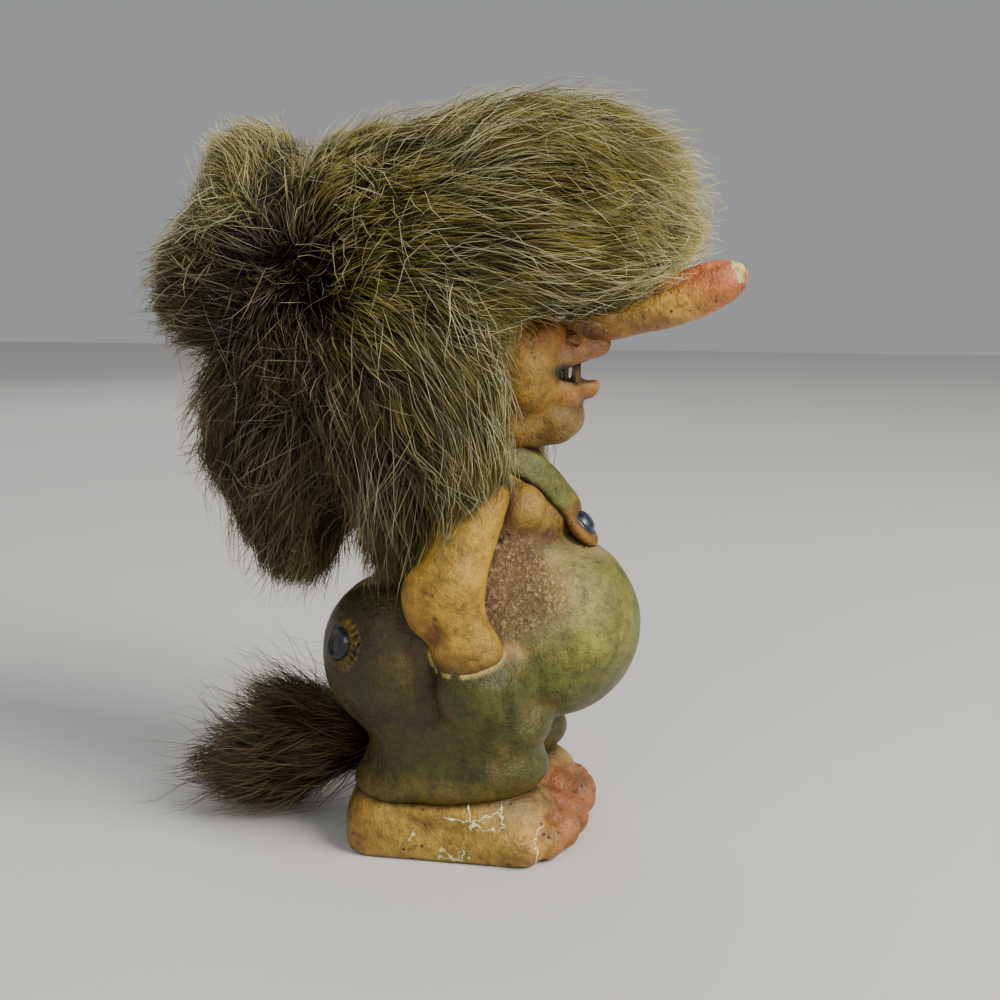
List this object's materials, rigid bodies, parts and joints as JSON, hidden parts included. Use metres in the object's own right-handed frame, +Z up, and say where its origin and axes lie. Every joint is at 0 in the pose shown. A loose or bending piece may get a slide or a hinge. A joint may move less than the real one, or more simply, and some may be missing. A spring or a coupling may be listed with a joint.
{
  "type": "troll figure",
  "caption": "Standing folk troll figure with a long nose, a fur wig and fur tail, and its hands in its trouser pockets; it stands by itself on flat soles.",
  "frame": {"origin": "on the floor, under the middle of the whole figure's box, between the feet", "axes": "+Z up, -Y the way the nose points, -X the figure's right side"},
  "size_m": [0.0712, 0.1258, 0.1522],
  "materials": {
    "painted_skin": "hand-painted, satin",
    "painted_trousers": "hand-painted, satin",
    "painted_feet": "hand-painted, satin",
    "foam": "soft foam",
    "eye": "gloss",
    "tooth": "painted",
    "button": "gloss paint",
    "cap_fabric": "woven backing",
    "fur": "long pile fake fur",
    "tail_hair": "long pile fake fur"
  },
  "bodies": {
    "figure": {"right_foot": "painted_feet", "left_foot": "painted_feet", "right_arm": "painted_skin", "left_arm": "painted_skin", "trousers_casting": "painted_trousers", "torso_casting": "painted_skin", "foam_core": "foam", "head_casting": "painted_skin", "nose": "painted_skin", "right_eye": "eye", "left_eye": "eye", "right_tooth": "tooth", "left_tooth": "tooth", "shoulder_strap": "painted_trousers", "bib_button": "button", "right_seat_button": "button", "left_seat_button": "button", "wig_cap": "cap_fabric", "crown_fur": "fur", "back_fur": "fur", "nape_fur": "fur", "right_side_fur": "fur", "left_side_fur": "fur"},
    "tail": {"tail_root": "cap_fabric", "tail_fur": "tail_hair"}
  },
  "joints": [
    {"name": "tail_swing", "type": "hinge", "parent": "figure", "child": "tail", "pos_m": [0, 0.00951, 0.0175], "axis": [0, 0, 1], "range_deg": [-15, 15]}
  ]
}
